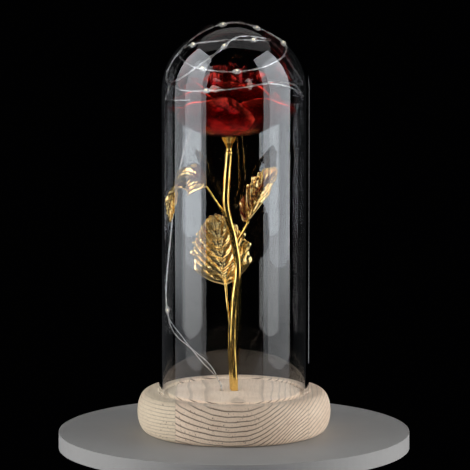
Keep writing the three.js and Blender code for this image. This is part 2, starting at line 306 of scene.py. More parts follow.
# The strands part where the string crosses from the base to the glass, and turn slowly there.
parting = np.exp(-(((run - PARTING_PLACE) / PARTING_HALF_LENGTH) ** 4))
pitch = TWIST_PITCH * (1 + PARTED_PITCH * parting)
twist = np.cumsum(np.gradient(run) * 2 * np.pi / pitch)[:, None]
wander = 0.25 * np.sin(run / 0.019) + 0.2 * np.sin(run / 0.0073 + 1)
offset = (STRAND_OFFSET * (1 + wander) + PARTING_WIDTH * parting)[:, None]
strands = [
    tube(
        centreline + offset * (np.cos(twist + half) * beside + np.sin(twist + half) * across),
        STRAND_RADIUS, 8, beside,
    )
    for half in (0, np.pi)
]
# The solid wire has so many straight steps, and these of them carry a bead
WIRE_STEPS = 80
BEAD_STEPS = [6, 34, 43, 45, 47, 52, 54, 59, 63, 69]
bead_nodes = [f"led_bead_{k + 1:02d}" for k in range(len(BEAD_STEPS))]
light_string = piece(
    "twisted_light_string", joined(*strands), finish("bright_wire", bright_wire),
    ["fairy_light_wire"],
)

# Light beads.
# Ten drops of clear resin moulded over the two wires, each with a tiny pale chip inside.
# They are fixed to the string alone, most of them in its loops under the dome's top.
BEAD_RADIUS = 0.0015
BEAD_HALF_LENGTH = 0.0025
BEAD_POWER = 2.3
CHIP_RADIUS = 0.00055
CHIP_HALF_LENGTH = 0.0007
CHIP_POWER = 6
CHIP_OFFSET = 0.0004


def drop(place, along, outward, half_length, radius, power):
    """A closed drop about a line: at height h from -1 to 1 its radius is the root of one
    minus h to a power."""
    count = 20
    height = np.sin(np.linspace(-np.pi / 2, np.pi / 2, count + 2)[1:-1])
    path = place + half_length * height[:, None] * along
    size = radius * (1 - np.abs(height) ** power) ** 0.5
    first = unit(outward - (outward @ along) * along)
    second = np.cross(along, first)
    angle = np.linspace(0, 2 * np.pi, 20, endpoint=False)[None, :, None]
    rings = path[:, None] + size[:, None, None] * (np.cos(angle) * first + np.sin(angle) * second)
    return wound(rings, place - half_length * along, place + half_length * along)


def clear_resin(place):
    """Clear resin with a faint cloud in it."""
    cloud = place.noise(700, 2).between(0.4, 0.8)
    return {
        "Base Color": cloud.mixed((0.98, 0.98, 0.97), (0.9, 0.9, 0.88)),
        "Roughness": 0.06,
        "IOR": 1.5,
        "Transmission Weight": 0.85,
        "Normal": place.noise(900, 2).bump(0.1, 0.0002),
    }


def pale_chip(place):
    """The chip's pale yellow phosphor, a little mottled."""
    grain = place.noise(2500, 2)
    return {
        "Base Color": grain.mixed((0.9, 0.8, 0.45), (0.8, 0.66, 0.25)),
        "Roughness": 0.45,
        "Emission Color": grain.mixed((1.0, 0.93, 0.8), (1.0, 0.88, 0.7)),
        "Emission Strength": 0.8,
    }


resin, chip = finish("clear_resin", clear_resin), finish("pale_chip", pale_chip)
stations = np.linspace(0, STRING_LENGTH, WIRE_STEPS + 1)
for name, step in zip(bead_nodes, BEAD_STEPS):
    ends = np.stack(
        [np.interp(stations[step : step + 2], run, centreline[:, k]) for k in range(3)], 1
    )
    place, along = ends.mean(0), unit(ends[1] - ends[0])
    outward = unit(place - middle_of_string)
    outside = drop(place, along, outward, BEAD_HALF_LENGTH, BEAD_RADIUS, BEAD_POWER)
    chip_place = place + CHIP_OFFSET * outward
    inside = drop(chip_place, along, outward, CHIP_HALF_LENGTH, CHIP_RADIUS, CHIP_POWER)
    bead = piece(
        name.replace("led", "clear"), joined(outside, inside), [resin, chip], [name]
    )
    chip_faces = np.zeros(len(bead.data.polygons), np.int32)
    sides = [len(kind) for kind in outside[1]]
    chip_faces[sum(sides):] = 1
    bead.data.polygons.foreach_set("material_index", chip_faces)

# Pine base.
# A disc turned from three pine boards glued edge to edge, with a rounded edge, a groove
# for the glass, and blind holes for the stem and the light string. Waxed, not stained.
BASE_RADIUS = 0.0578
BASE_HEIGHT = 0.0245
BASE_FLAT_RADIUS = 0.0515
GROOVE_INNER_RADIUS = 0.0391
GROOVE_OUTER_RADIUS = 0.0456
GROOVE_DEPTH = 0.0022
SOFT_EDGE = 0.0005
SHARP_EDGE = math.radians(35)
STEM_HOLE = (0.0003, 0.0025, 0.007)  # place along X, radius and depth
WIRE_HOLE = (-0.0073, 0.0017, 0.012)
CUT_ABOVE = 0.003
LEFT_JOINT, LEFT_JOINT_WIDTH = -0.0347, 0.00022
RIGHT_JOINT, RIGHT_JOINT_WIDTH = 0.0441, 0.0002
BOARD_BLUR = 0.00005
PITH_X, PITH_HEIGHT = 0.004, 0.064
FIRST_RING = 0.0393
MIDDLE_SPACING, CROWDED_BY = 0.0031, 0.0012
LEFT_SPACING, RIGHT_SPACING = 0.00215, 0.0021


def turned(profile, segments, centre=(0, 0)):
    """A profile of (radius, height) rows turned about an upright axis. Its first and last
    rows are on the axis and close the skin."""
    profile = np.asarray(profile, float)
    angle = np.linspace(0, 2 * np.pi, segments, endpoint=False)
    radius, height = profile[1:-1].T
    x = centre[0] + radius[:, None] * np.cos(angle)
    y = centre[1] + radius[:, None] * np.sin(angle)
    rings = np.stack([x, y, np.broadcast_to(height[:, None], x.shape)], -1)
    ends = [np.array([*centre, profile[k, 1]]) for k in (0, -1)]
    return wound(rings, *ends)


def rounded(corners, radius, steps=4):
    """A profile's line with each inner corner replaced by a short curve of that radius."""
    corners = np.asarray(corners, float)
    line = [corners[:1]]
    for before, at, after in zip(corners[:-2], corners[1:-1], corners[2:]):
        back, on = unit(before - at), unit(after - at)
        t = np.linspace(0, 1, steps + 1)[:, None]
        start, end = at + radius * back, at + radius * on
        line.append((1 - t) ** 2 * start + 2 * t * (1 - t) * at + t**2 * end)
    return np.vstack([*line, corners[-1:]])


def pine(place):
    """Three boards by X. Growth rings show as arcs hung from above the middle board, flat
    lines in the left one and slanting lines in the right one. Each ring darkens slowly and
    ends sharply, strongest on the end grain at the front and the back."""
    split = place.node("SeparateXYZ", {}, {0: place}, "X")
    x, y, z = split, split.out("Y"), split.out("Z")
    warp = place.noise(38, 2, stretch=(1, 0.3, 1)) - 0.5
    fine_warp = place.noise(260, 3, stretch=(1, 0.3, 1)) - 0.5
    bend = 0.0045 * warp + 0.0005 * fine_warp
    from_middle = x - PITH_X
    drawn_in = from_middle.maths("MAXIMUM", from_middle, 0.0) + 0.72 * from_middle.maths(
        "MINIMUM", from_middle, 0.0
    )
    below_pith = z - PITH_HEIGHT
    ring = (drawn_in * drawn_in + below_pith * below_pith) ** 0.5 + bend
    spacing = MIDDLE_SPACING - CROWDED_BY * x.between(PITH_X, 0.04)
    middle_rings = (ring - FIRST_RING) / spacing
    left_rings = (z - 0.03 * x + 0.5 * bend) / LEFT_SPACING
    right_rings = (0.72 * x - 0.7 * z + 0.6 * bend) / RIGHT_SPACING
    left = 1 - x.between(LEFT_JOINT - BOARD_BLUR, LEFT_JOINT + BOARD_BLUR)
    right = x.between(RIGHT_JOINT - BOARD_BLUR, RIGHT_JOINT + BOARD_BLUR)
    middle = 1 - left - right
    rings = middle * middle_rings + left * left_rings + right * right_rings
    late = rings.maths("FRACT", rings)
    line = late.between(0.62, 0.88) * (1 - late.between(0.93, 0.99))
    uneven = place.noise(75, 3, stretch=(1, 0.25, 1)).between(0.25, 0.7)
    normal = place.node("TexCoord", {}, {}, "Normal")
    facing = abs(normal.node("SeparateXYZ", {}, {0: normal}, "Y"))
    end_grain = facing.between(0.15, 0.8)
    strength = (0.3 + 0.7 * end_grain) * (0.7 + 0.3 * uneven) * (1 - 0.4 * left - 0.1 * right)
    dark = line * strength
    fibre = place.noise(900, 3, 0.6, stretch=(1, 0.06, 1))
    pores = place.noise(1500, 2, 0.5, stretch=(1, 0.2, 0.5)).between(0.63, 0.72) * end_grain
    blotch = place.noise(45, 3, 0.6)
    pink = blotch.between(0.3, 0.7).mixed((0.9, 0.735, 0.58), (0.8, 0.625, 0.48))
    boards = left.mixed(pink, (0.8, 0.675, 0.51))
    grained = (0.35 * fibre.between(0.35, 0.8)).mixed(boards, (0.5, 0.38, 0.27))
    lined = dark.mixed(grained, (0.08, 0.04, 0.02))
    specked = (0.85 * pores).mixed(lined, (0.13, 0.06, 0.035))
    left_joint = 1 - abs(x - LEFT_JOINT).between(0.0, LEFT_JOINT_WIDTH)
    right_joint = 1 - abs(x - RIGHT_JOINT).between(0.0, RIGHT_JOINT_WIDTH)
    joint = left_joint + right_joint
    colour = (0.4 * joint).mixed(specked, (0.3, 0.22, 0.15))
    relief = 0.5 * fibre + 0.6 * line * uneven - 0.8 * pores - 0.6 * joint
    return {
        "Base Color": colour,
        "Roughness": 0.5 + 0.12 * fibre - 0.08 * dark,
        "Normal": relief.bump(0.35, 0.00025),
        "Specular IOR Level": 0.35,
    }


def cut(made, cutters):
    """Takes closed skins out of a piece, for good."""
    for k, skin in enumerate(cutters):
        mesh = bpy.data.meshes.new("cutter")
        places, kinds = skin
        faces = [face for kind in kinds for face in kind.tolist()]
        mesh.from_pydata(places.tolist(), [], faces)
        cutter = bpy.data.objects.new("cutter", mesh)
        bpy.context.scene.collection.objects.link(cutter)
        hole = made.modifiers.new(f"hole_{k}", "BOOLEAN")
        hole.operation, hole.solver, hole.object = "DIFFERENCE", "EXACT", cutter
        seen = made.evaluated_get(bpy.context.evaluated_depsgraph_get())
        fresh = bpy.data.meshes.new_from_object(seen)
        made.modifiers.clear()
        made.data = fresh
        bpy.data.objects.remove(cutter)


nose_angle = np.linspace(-np.pi / 2, np.pi / 2, 33)
nose = np.stack([
    BASE_FLAT_RADIUS + (BASE_RADIUS - BASE_FLAT_RADIUS) * np.cos(nose_angle),
    BASE_HEIGHT / 2 * (1 + np.sin(nose_angle)),
], axis=1)
groove_floor = BASE_HEIGHT - GROOVE_DEPTH
# The flat faces get extra rings, which keep their triangles short
top_line = rounded([
    nose[-1], (GROOVE_OUTER_RADIUS, BASE_HEIGHT), (GROOVE_OUTER_RADIUS, groove_floor),
    (GROOVE_INNER_RADIUS, groove_floor), (GROOVE_INNER_RADIUS, BASE_HEIGHT),
    (0.012, BASE_HEIGHT),
], SOFT_EDGE)
base_profile = np.vstack([[0, 0], [0.02, 0], [0.045, 0], nose, top_line[1:], [0, BASE_HEIGHT]])
pine_finish = finish("waxed_pine", pine)
base = piece(
    "turned_pine_base", turned(base_profile, 180), pine_finish, ["wood_base"]
)
cut(base, [
    turned([
        (0, BASE_HEIGHT - sunk), (wide, BASE_HEIGHT - sunk), (wide, BASE_HEIGHT + CUT_ABOVE),
        (0, BASE_HEIGHT + CUT_ABOVE),
    ], 40, (x, 0))
    for x, wide, sunk in (STEM_HOLE, WIRE_HOLE)
])
base.data.set_sharp_from_angle(angle=SHARP_EDGE)

# Glass dome.
# One tube of clear glass with a round top, blown, its foot ground flat. It stands loose in
# the base's groove.
GLASS_RADIUS = 0.045
GLASS_WALL = 0.0023
GLASS_FOOT = 0.0226
GLASS_SHOULDER = 0.205
FOOT_EDGE = 0.0005


def blown_glass(place):
    """Clear glass with the faint waves of blowing, finer lines along it where it was drawn
    out, and a very thin film of dust."""
    dust = place.noise(60, 4, 0.6).between(0.45, 0.85)
    waves = place.noise(26, 1, stretch=(1, 1, 0.35))
    drawn = place.noise(330, 2, stretch=(1, 1, 0.02))
    return {
        "Base Color": dust.mixed((0.985, 0.992, 0.995), (0.955, 0.965, 0.97)),
        "Roughness": 0.0,
        "IOR": 1.48,
        "Transmission Weight": 1.0,
        "Normal": (waves + 0.05 * drawn).bump(0.12, 0.0012),
    }


def dome_arc(radius, steps=28):
    """A quarter circle from the wall's top to the axis, as (radius, height) rows."""
    angle = np.linspace(0, np.pi / 2, steps)
    arc = np.stack([radius * np.cos(angle), GLASS_SHOULDER + radius * np.sin(angle)], axis=1)
    arc[-1, 0] = 0
    return arc


def dome_wall(radius):
    """The straight wall, from just above the foot to the shoulder. Three rows close to the
    foot keep its rounding short."""
    near = GLASS_FOOT + np.array([0.0006, 0.0008, 0.0012])
    heights = np.r_[near, np.linspace(GLASS_FOOT + 0.004, GLASS_SHOULDER, 24)[:-1]]
    return np.stack([np.full_like(heights, radius), heights], axis=1)


inside_radius = GLASS_RADIUS - GLASS_WALL
inside = np.vstack([dome_wall(inside_radius), dome_arc(inside_radius)])[::-1]
foot = np.array([
    (inside_radius + FOOT_EDGE, GLASS_FOOT), (GLASS_RADIUS - FOOT_EDGE, GLASS_FOOT),
])
outside = np.vstack([dome_wall(GLASS_RADIUS), dome_arc(GLASS_RADIUS)])
dome = piece(
    "blown_glass_dome", turned(np.vstack([inside, foot, outside]), 144),
    finish("blown_glass", blown_glass), ["glass_dome"],
)
# Thin clear glass lets nearly all light through, so it casts no shadow
dome.visible_shadow = False

# Gilt stem and leaf stems.
# Brass tube and rod, bent by hand and electroplated with gold. The left and right leaf stems
# are brazed to the main stem, and the front one stands beside it on the base.
STEM_RADIUS = 0.0022
STEM_TOP = 0.1685
STEM_LIP = 0.00025
LEAF_STEM_RADIUS = 0.0009


def gilding(place):
    """Polished gold plate over a slightly uneven ground, with small duller patches."""
    patch = place.noise(240, 4, 0.6).between(0.35, 0.8)
    grain = place.noise(1400, 3, 0.6)
    return {
        "Base Color": patch.mixed((0.98, 0.68, 0.22), (0.86, 0.52, 0.12)),
        "Metallic": 1.0,
        "Roughness": 0.07 + 0.12 * patch + 0.03 * grain,
        "Normal": (0.6 * grain + 2.0 * place.noise(330, 2)).bump(0.14, 0.0003),
    }


# Places along the stems, in mm
STEM_LINE = [
    (0.3, 0, 17.8), (0.1, 0, 34), (-0.8, 0, 55), (0.3, 0, 79), (2.3, 0, 98), (0, 0, 115.4),
    (-4.6, 0, 136), (-4.3, 0, 152), (-3, 0, 168.5),
]
LEAF_STEM_LINES = {
    "left": [
        (-5.2, 0, 131.5), (-7.9, 0, 134.8), (-12, 0.6, 140.6), (-16.2, 1, 147), (-18, 1.4, 149),
    ],
    "right": [
        (1.2, 0, 114), (3.6, 0, 117.4), (6, 0.2, 121.4), (8, 0.5, 125.3), (9, 1.4, 128.5),
    ],
    "front": [
        (-1.7, 2.8, 24.9), (-2.8, 2.8, 50), (-2.9, 2.5, 64), (-3.5, 1.5, 72), (-4.3, 2.6, 80),
        (-5, 4, 87.4), (-5.4, 5, 91),
    ],
}
gold = finish("gold_plate", gilding)
stem_path = line_through(0.001 * np.array(STEM_LINE), 160)
to_front = np.array([0, -1.0, 0])
stem_run = np.linspace(0, 1, len(stem_path))
rim = STEM_LIP * np.exp(-(((stem_run - 1) / 0.006) ** 2))
bruised = 0.00004 * np.sin(31 * stem_run) + 0.00003 * np.sin(77 * stem_run + 1)
stem_skin = tube(stem_path, STEM_RADIUS + rim + bruised, 28, to_front)
piece("gilt_main_stem", stem_skin, gold, ["main_stem"])
for side, line in LEAF_STEM_LINES.items():
    path = line_through(0.001 * np.array(line), 90)
    taper = LEAF_STEM_RADIUS * np.linspace(1.05, 0.85, len(path))
    piece(
        f"gilt_{side}_leaf_stem", tube(path, taper, 16, to_front), gold,
        [f"{side}_leaf_stem"],
    )

# Calyx.
# A spun brass funnel, fluted and gilt. Its neck is pushed into the stem's open top, and it
# holds the petals' foot.
CALYX_RADIUS = 0.0052
CALYX_HEIGHT = 0.0094
FLUTES = 10
FLUTE_DEPTH = 0.07

calyx_line = rounded([
    (0, -0.002), (0.00172, -0.002), (0.00178, 0.0022), (0.0029, 0.0052), (0.0044, 0.008),
    (CALYX_RADIUS, CALYX_HEIGHT), (0.0046, CALYX_HEIGHT + 0.0002), (0.0033, 0.0085),
    (0, 0.0078),
], 0.0003)
calyx_skin = turned(calyx_line, 80)
places = calyx_skin[0]
angle = np.arctan2(places[:, 1], places[:, 0])
flare = np.clip(places[:, 2] / CALYX_HEIGHT, 0, 1) ** 1.5
fluting = np.abs(np.cos(FLUTES * angle / 2)) * 2 - 1
places[:, :2] *= (1 + FLUTE_DEPTH * flare * fluting)[:, None]
places += np.array([-0.003, 0, STEM_TOP + 0.0003])
piece("gilt_fluted_calyx", calyx_skin, gold, ["calyx"])

# Leaves.
# Three rose leaves pressed from gilt brass sheet, pleated along their veins, with toothed
# margins. Each is brazed to its own stem.
LEAF_THICKNESS = 0.00036
LEAF_PLEATS = 7
# The corners of each midrib's curve, the sideways direction at its base and tip, and sizes in mm
LEAVES = {
    "left": {
        "midrib": [(-16.6, 1.1, 147.6), (-25, 3, 156), (-40, 4, 156), (-39, -3, 127)],
        "lateral": [(0.25, 0.75, 0.6), (0.3, 0.95, 0)],
        "half_width": 14, "cup": -1.5, "pleat": 1.1,
    },
    "right": {
        "midrib": [(8.3, 0.6, 125.9), (12, 4, 138), (19, 9, 150), (26, 14, 155)],
        "lateral": [(0.45, -0.85, -0.2), (0.45, -0.8, -0.35)],
        "half_width": 11, "cup": 3, "pleat": 1.1,
    },
    "front": {
        "midrib": [(-5.1, 4.2, 88), (-6.5, 7.5, 100), (-9, 8, 116), (-12, 3, 129.5)],
        "lateral": [(1, 0.05, 0.1), (1, 0.05, 0.1)],
        "half_width": 17.5, "cup": -2.5, "pleat": 1.2,
    },
}


def sheet_skin(middle, thickness):
    """A closed thin sheet about a grid of places: each is moved half the thickness both ways
    along the grid's normal, and the two sides are joined round the margin."""
    rows, columns = middle.shape[:2]
    along_u, along_v = np.gradient(middle, axis=1), np.gradient(middle, axis=0)
    normal = unit(np.cross(along_u, along_v))
    half = 0.5 * np.broadcast_to(thickness, (rows, columns))[..., None]
    places = np.concatenate([
        (middle + half * normal).reshape(-1, 3), (middle - half * normal).reshape(-1, 3),
    ])
    corner = np.arange(rows * columns).reshape(rows, columns)
    a, b, c, d = corner[:-1, :-1], corner[:-1, 1:], corner[1:, 1:], corner[1:, :-1]
    front = np.stack([a, b, c, d], -1).reshape(-1, 4)
    back = rows * columns + np.stack([a, d, c, b], -1).reshape(-1, 4)
    margin = np.concatenate([corner[0, :-1], corner[:-1, -1], corner[-1, :0:-1], corner[:0:-1, 0]])
    onward = np.roll(margin, -1)
    edge = np.stack([margin, rows * columns + margin, rows * columns + onward, onward], -1)
    return places, [np.vstack([front, back, edge])]


def folded(turns):
    """A wave like a sine, but with straight sides and nearly sharp crests: the arcsine of
    nearly the whole sine, divided by its greatest value."""
    return np.arcsin(0.97 * np.sin(turns)) / 1.325


def leaf_grid(u, v, midrib, lateral, half_width, cup, pleat):
    """A pleated leaf: the midrib is a cubic curve, and at u across and v along, the place is
    that far out from the midrib, a little ahead of v. It is raised by the cup, which grows
    with u squared, by seven pleats along the leaf that run ahead towards the margin, not
    quite evenly, and by folds that cross them and fade at the midrib. The midrib is a low
    ridge, and the margin is toothed in step with the pleats."""
    p = np.asarray(midrib, float)
    rise = np.abs(u)
    along = (v + 0.85 * rise * np.sqrt(v) * (1 - v))[..., None]
    rest = 1 - along
    spine = (
        rest**3 * p[0] + 3 * rest**2 * along * p[1] + 3 * rest * along**2 * p[2] + along**3 * p[3]
    )
    tangent = unit(
        rest**2 * (p[1] - p[0]) + 2 * rest * along * (p[2] - p[1]) + along**2 * (p[3] - p[2])
    )
    base, tip = np.asarray(lateral, float)
    side = base + (tip - base) * v[..., None]
    side = unit(side - (side * tangent).sum(-1, keepdims=True) * tangent)
    normal = np.cross(side, tangent)
    phase = 2 * np.pi * LEAF_PLEATS * (v - 0.22 * rise)
    phase = phase + 0.6 * np.sin(4 * u + 11 * v) + 0.4 * np.sin(9 * u - 5 * v)
    fold = folded(phase + np.pi / 2)
    outline = 0.05 + 0.95 * np.sin(np.pi * along[..., 0] ** 0.85) ** 0.75
    tooth = np.clip(0.5 + 0.5 * np.cos(phase + 0.5), 0, 1) ** 1.4
    width = half_width * outline * (1 + (0.14 * tooth - 0.05) * rise**3)
    ramp = np.sin(np.pi * np.minimum(1, v + 0.05)) * np.minimum(1, 1.6 * rise)
    midrib_ridge = -0.45 * np.exp(-((u / 0.045) ** 2)) * (1 - 0.6 * v)
    crossed = 0.7 * folded(21 * v + 6 * u + 1) * (0.6 + 0.4 * np.sin(5 * v - 7 * u))
    dents = (crossed + 0.25 * folded(13 * u - 9 * v)) * rise
    height = cup * rise**2 + pleat * fold * ramp + midrib_ridge + dents
    return 0.001 * (spine + (u * width)[..., None] * side + height[..., None] * normal)


leaf_v, leaf_u = np.meshgrid(np.linspace(0, 1, 141), np.linspace(-1, 1, 41), indexing="ij")
leaf_maps = np.tile(np.stack([leaf_u, leaf_v], -1).reshape(-1, 2), (2, 1))


def gilt_leaf(place):
    """Gold plate over pressed veins: fine ribs that fan from the midrib. It is darker and duller
    in the folds, a painted shade, but bright along the margin and the ridges, with small matt
    patches."""
    uv = place.node("UVMap", {"uv_map": "surface"})
    split = uv.node("SeparateXYZ", {}, {0: uv}, "X")
    u, v = split, split.out("Y")
    out = abs(u)
    fan = 2 * math.pi * LEAF_PLEATS * v
    ridge = 0.5 + 0.5 * fan.maths("COSINE", fan)
    vein = fan.maths("SINE", 4.0 * fan + 9.0 * out)
    patch = place.noise(260, 4, 0.65).between(0.3, 0.75)
    edge = out.between(0.82, 1.0)
    # Painted shade: darker, rougher gold in the folds, not along the margin; the small patches are
    # matt plate
    dull_and_fold_shade = (1 - ridge) * (1 - edge) * 0.65 + 0.35 * patch
    grain = place.noise(1500, 3, 0.6)
    return {
        "Base Color": dull_and_fold_shade.mixed((1.0, 0.78, 0.38), (0.72, 0.42, 0.1)),
        "Metallic": 1.0,
        "Roughness": 0.09 + 0.16 * dull_and_fold_shade + 0.04 * grain,
        "Normal": (0.4 * vein + 0.6 * grain + 2.0 * place.noise(300, 2)).bump(0.35, 0.0003),
    }


leaf_gold = finish("pressed_gold_plate", gilt_leaf)
for side, form in LEAVES.items():
    grid = leaf_grid(leaf_u, leaf_v, **form)
    piece(
        f"gilt_{side}_leaf", sheet_skin(grid, LEAF_THICKNESS), leaf_gold,
        [f"{side}_leaf"], leaf_maps,
    )

# Petals.
# Twenty-one petals of stiff red metal foil, from the tight bud to the wide outer bowl.
# Each is shaped by hand and glued at its foot, wholly outside the one before it.
BLOOM_X = -2  # this, the foot and the curl are in mm
BLOOM_FOOT = 178.9
RIM_CURL = 0.9
PETALS = 21
PETALS_IN_RING = 5
OUTER_PETAL_AZIMUTH = -24
PETAL_TURN = -144
RING_TWIST = -36
WIDEST_HALF_TURN = 1.17
PETAL_THICKNESS = 0.00028
CREASE_HEIGHT = 0.00014
DENT_HEIGHT = 0.0003
THIN_MARGIN = 0.06


def petal_line(own, upright, reach):
    """Radius and height at a reach along a petal's middle line. The line starts beside the
    axis and is drawn out in twenty steps, leaning from upright by an angle that is blended
    from a base, a middle and a tip angle, all greater in the outer petals. Towards the
    front of the bloom the tips stand upright and the petals are longer."""
    steps = 20
    length = 42 - 7 * own**3 + 10 * upright * own**3
    radius = 0.8 + 5.1 * own
    height = BLOOM_FOOT + 2.2 * (1 - own)
    base, middle = 18 + 80 * own, -8 + 58 * own**2.4 - 10 * upright * own**2
    tip = -14 + 100 * own**1.7 - 86 * upright * own**1.5
    for i in range(steps):
        part = np.clip(reach * steps - i, 0, 1)
        s = (i + 0.5) / steps
        lean = np.radians(base * (1 - s) ** 2 + 2 * middle * s * (1 - s) + tip * s * s)
        radius = radius + np.sin(lean) * length * part / steps
        height = height + np.cos(lean) * length * part / steps
    return np.maximum(radius, 0.6), height


def petal_grid(u, v, index):
    """One petal: u turns about the bloom's axis and v follows the middle line. Its rim is
    rounded, dips at the middle, is ruffled, curls outwards, and is creased where the foil
    was bent."""
    from_outside = PETALS - 1 - index
    own = 1 - (from_outside / (PETALS - 1)) ** 1.35
    ring_twist = RING_TWIST * (from_outside // PETALS_IN_RING)
    azimuth = np.radians(OUTER_PETAL_AZIMUTH + PETAL_TURN * from_outside + ring_twist)
    width = 25 + 43 * own
    corner = (0.14 + 0.18 * own) * np.abs(u) ** 2.6
    dip = 0.03 * (1 - np.minimum(1, np.abs(3 * u)))
    reach = v * (1 - corner - dip)
    wave = (0.022 - 0.012 * own) * (np.sin(2.4 * np.pi * u + index) - 1) * v**3
    widest = 25 * own ** 0.8 + 4
    spread = 0.1 + 0.9 * np.sin(np.pi / 2 * np.minimum(1, reach / 0.62)) ** 1.1
    half = spread * width * 0.5 / widest
    turn = azimuth + u * WIDEST_HALF_TURN * np.tanh(half / WIDEST_HALF_TURN)
    upright = ((1 + np.cos(turn)) / 2) ** 3
    radius, height = petal_line(np.clip(own + wave, 0, 1), upright, reach)
    free = 1 - own**3 * (1 - upright)
    radius = radius + RIM_CURL * free * np.maximum(0, (v - 0.85) / 0.15) ** 2
    oval = 1 + 0.04 * np.sin(turn) + 0.03 * np.sin(turn) ** 2
    grid = 0.001 * np.stack([
        BLOOM_X + radius * oval * np.sin(turn), -radius * oval * np.cos(turn), height
    ], -1)
    normal = unit(np.cross(np.gradient(grid, axis=1), np.gradient(grid, axis=0)))
    crease = np.sin(11 * u + 1.7 * index + 2 * np.sin(3 * v + index))
    crease = np.sign(crease) * np.abs(crease) ** 0.7
    small = np.sin(27 * u * (0.6 + v) + 2.3 * index) * np.sin(9 * v + 1.1 * index)
    dent = folded(6 * u + 5 * v + 1.3 * index) * folded(8 * v - 4 * u + 2.1 * index)
    amount = CREASE_HEIGHT * (crease * v**2 + 0.5 * small * v)
    amount = amount + DENT_HEIGHT * dent * np.minimum(1, 2 * v)
    return grid + amount[..., None] * normal


petal_v, petal_u = np.meshgrid(np.linspace(0, 1, 49), np.linspace(-1, 1, 49), indexing="ij")
petal_maps = np.tile(np.stack([petal_u, petal_v], -1).reshape(-1, 2), (2, 1))


def red_foil(place):
    """Lacquered red foil: deep red, brighter in patches and crinkled all over. It is paler and
    pinker towards the rim, a painted highlight, and almost black at the foot and near the axis
    high in the bloom, a painted shade."""
    uv = place.node("UVMap", {"uv_map": "surface"})
    split = uv.node("SeparateXYZ", {}, {0: uv}, "X")
    u, v = split, split.out("Y")
    # Painted highlight: the foil is paler and pinker towards the rim
    rim = (0.12 * abs(u) ** 3 + v).between(0.82, 1.08)
    # Painted shade: the foil darkens towards each petal's foot, deep in the bloom
    foot = 1 - v.between(0.05, 0.5)
    patch = place.noise(95, 3, 0.6).between(0.38, 0.68)
    body = patch.mixed((0.17, 0.0, 0.001), (0.46, 0.003, 0.003))
    bright = (0.6 * rim).mixed(body, (0.85, 0.07, 0.04))
    # Painted shade: close to the axis, high in the bloom, the foil turns almost black
    x = place.node("SeparateXYZ", {}, {0: place}, "X") + 0.002
    y, z = x.node("SeparateXYZ", {}, {0: place}, "Y"), x.node("SeparateXYZ", {}, {0: place}, "Z")
    bud_shade = (1 - ((x * x + y * y) ** 0.5).between(0.012, 0.021)) * z.between(0.195, 0.21)
    colour = (1 - (1 - 0.75 * foot) * (1 - 0.8 * bud_shade)).mixed(bright, (0.05, 0.0, 0.0))
    wide = place.node("TexVoronoi", {"feature": "SMOOTH_F1"}, {"Vector": place, "Scale": 170.0})
    narrow = place.node("TexVoronoi", {"feature": "SMOOTH_F1"}, {"Vector": place, "Scale": 460.0})
    fine = place.noise(1100, 3, 0.6)
    return {
        "Base Color": colour,
        "Metallic": 0.95,
        "Roughness": 0.13 + 0.14 * place.noise(300, 3),
        "Coat Weight": 0.1,
        "Coat Roughness": 0.1,
        "Normal": (2.2 * wide + 0.7 * narrow + 0.35 * fine).bump(0.35, 0.0006),
    }


foil = finish("lacquered_red_foil", red_foil)
for index in range(PETALS):
    grid = petal_grid(petal_u, petal_v, index)
    margin = np.minimum(1 - np.abs(petal_u), 1 - petal_v)
    thin = PETAL_THICKNESS * (0.35 + 0.65 * np.clip(margin / THIN_MARGIN, 0, 1))
    piece(
        f"red_petal_{index + 1:02d}", sheet_skin(grid, thin), foil,
        [f"petal_{index + 1:02d}"], petal_maps,
    )

# Floor and light.
# A small round pale table top in a dark room, lit from each side, weakly from in front, above
# and behind, and by narrow spots on the front leaf. The glass's face mirrors only white panels.
FLOOR_RADIUS = 0.105
FLOOR_TOP = -0.0002
FLOOR_FOOT = -0.01
WHITE = (1, 1, 1)
COOL_WHITE = (0.9, 0.945, 1.0)
WARM_WHITE = (1, 0.86, 0.74)
DARK_ROOM = (0.0004, 0.0004, 0.0005, 1)
SIDE_DISTANCE = 0.7
TALL_MIDDLE, TALL_HEIGHT = 0.4225, 0.855
FILL_MIDDLE, FILL_HEIGHT = 0.16, 0.36
LOW_MIDDLE, LOW_HEIGHT = -0.0425, 0.074
PANEL_DISTANCE = 0.62
PANEL_FOOT, PANEL_TOP, RIM_PANEL_TOP = -0.12, 0.95, 0.6
NEAR_TABLE = (-0.04, 0.03)
ABOVE_DOME = (0.25, 0.6)


def table_top(place):
    """Pale matt paint with a faint mottle."""
    mottle = place.noise(30, 4, 0.6)
    return {
        "Base Color": mottle.mixed((0.42, 0.415, 0.41), (0.37, 0.365, 0.36)),
        "Roughness": 0.55,
        "Specular IOR Level": 0.3,
        "Normal": place.noise(700, 3).bump(0.1, 0.0003),
    }


def stage_piece(name, skin, material):
    """A mesh that isn't part of the object."""
    places, kinds = skin
    mesh = bpy.data.meshes.new(name)
    mesh.from_pydata(places.tolist(), [], [face for kind in kinds for face in kind.tolist()])
    mesh.materials.append(material)
    made = bpy.data.objects.new(name, mesh)
    bpy.context.scene.collection.objects.link(made)
    return made


floor_line = [
    (0, FLOOR_FOOT), (FLOOR_RADIUS, FLOOR_FOOT), (FLOOR_RADIUS, FLOOR_TOP), (0, FLOOR_TOP),
]
stage_piece("pale_floor", turned(floor_line, 128), finish("table_top", table_top))


def about(azimuth, distance, height):
    """The place at an azimuth in degrees from the front, towards the right."""
    turn = math.radians(azimuth)
    return Vector((distance * math.sin(turn), -distance * math.cos(turn), height))


